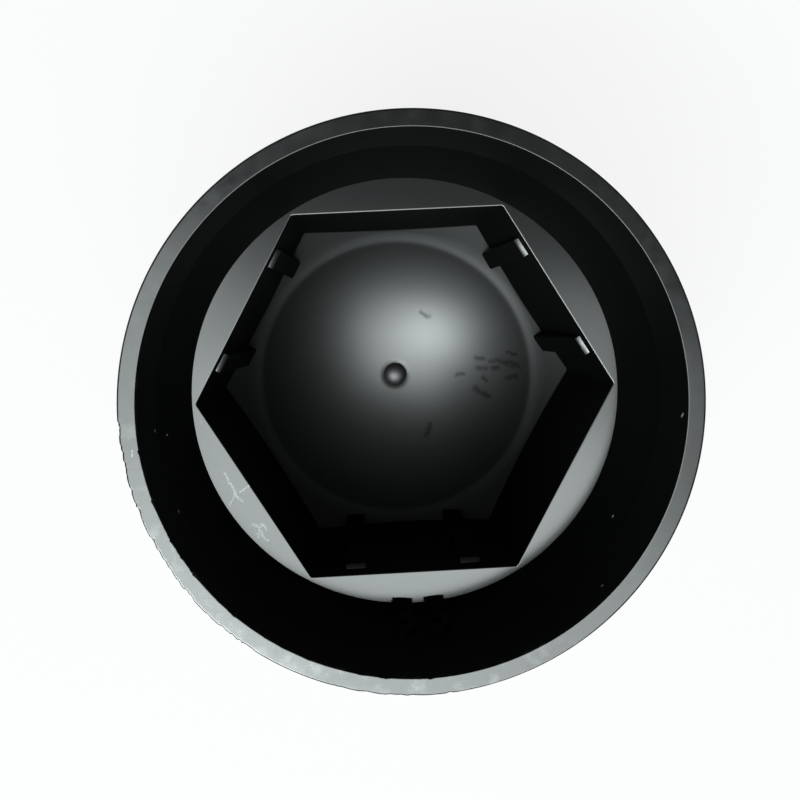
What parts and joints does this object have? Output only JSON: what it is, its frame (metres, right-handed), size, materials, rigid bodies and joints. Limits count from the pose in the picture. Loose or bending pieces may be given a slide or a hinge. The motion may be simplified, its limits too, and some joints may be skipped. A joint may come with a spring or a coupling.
{
  "type": "wheel nut cover cap",
  "caption": "Moulded plastic cap that pushes over a hexagonal wheel nut, with a drafted socket, crush ribs, a domed end and a flared round skirt.",
  "frame": {"origin": "middle of the flat foot on the crown, at the bottom of the cap", "axes": "+Z along the cap's axis and out of its mouth, +X through a corner of the hexagonal socket"},
  "size_m": [0.0464, 0.0464, 0.0464],
  "materials": {
    "cap": "satin black moulded plastic"
  },
  "bodies": {
    "root": {"cap": "cap"}
  },
  "joints": []
}
